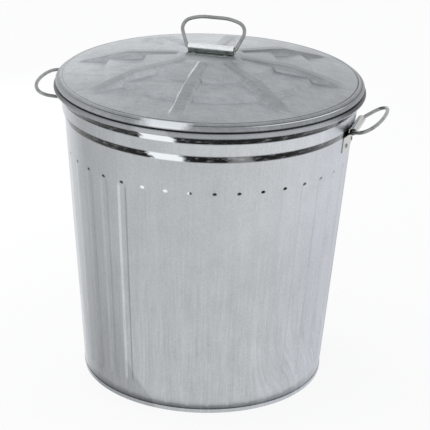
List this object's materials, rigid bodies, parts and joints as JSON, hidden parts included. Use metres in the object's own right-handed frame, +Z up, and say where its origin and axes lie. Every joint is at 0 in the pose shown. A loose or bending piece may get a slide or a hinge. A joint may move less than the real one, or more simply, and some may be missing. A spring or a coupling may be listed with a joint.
{
  "type": "galvanized trash can with lid",
  "caption": "Round tapered sheet-metal trash can with fluted wall, wired rim, drop handles at the sides and a ridged lift-off lid with a wire bail.",
  "frame": {"origin": "on the floor under the middle of the base", "axes": "+Z up along the can's axis; the side handles are on +X and -X; -Y is the front; the lid handle's bar lies along X apart from a 3 degree turn of the loose lid"},
  "size_m": [0.5384, 0.465, 0.5537],
  "materials": {
    "can_wall": "hot-dip galvanized sheet, faint vertical streaks",
    "rim_wire": "steel wire inside the rolled rim",
    "base_pan": "galvanized sheet",
    "base_hoop": "galvanized sheet, folded",
    "bracket_right": "galvanized strap",
    "bracket_left": "galvanized strap",
    "rivets_right": "domed rivets",
    "rivets_left": "domed rivets",
    "handle_right": "galvanized wire",
    "handle_left": "galvanized wire",
    "lid_shell": "hot-dip galvanized sheet, lightly mottled",
    "lid_edge_wire": "steel wire inside the rolled edge",
    "lid_collar": "galvanized sheet",
    "lid_clip": "galvanized strap, bright on top",
    "lid_clip_rivets": "domed rivets",
    "lid_handle": "galvanized wire"
  },
  "bodies": {
    "can": {"can_wall": "can_wall", "rim_wire": "rim_wire", "base_pan": "base_pan", "base_hoop": "base_hoop", "bracket_right": "bracket_right", "bracket_left": "bracket_left", "rivets_right": "rivets_right", "rivets_left": "rivets_left"},
    "lid": {"lid_shell": "lid_shell", "lid_edge_wire": "lid_edge_wire", "lid_collar": "lid_collar", "lid_clip": "lid_clip", "lid_clip_rivets": "lid_clip_rivets"},
    "bail": {"lid_handle": "lid_handle"},
    "right_handle": {"handle_right": "handle_right"},
    "left_handle": {"handle_left": "handle_left"}
  },
  "joints": [
    {"name": "lid_lift", "type": "slide", "parent": "can", "child": "lid", "axis": [0, 0, 1], "range_m": [0, 0.12]},
    {"name": "bail_hinge", "type": "hinge", "parent": "lid", "child": "bail", "pos_m": [0, 0, 0.5089], "axis": [0.9986, 0.0523, 0], "range_deg": [-67, 117]},
    {"name": "right_hinge", "type": "hinge", "parent": "can", "child": "right_handle", "pos_m": [0.22602, 0, 0.417], "axis": [0, 1, 0], "range_deg": [-42, 121]},
    {"name": "left_hinge", "type": "hinge", "parent": "can", "child": "left_handle", "pos_m": [-0.22602, 0, 0.417], "axis": [0, -1, 0], "range_deg": [-42, 121]}
  ]
}
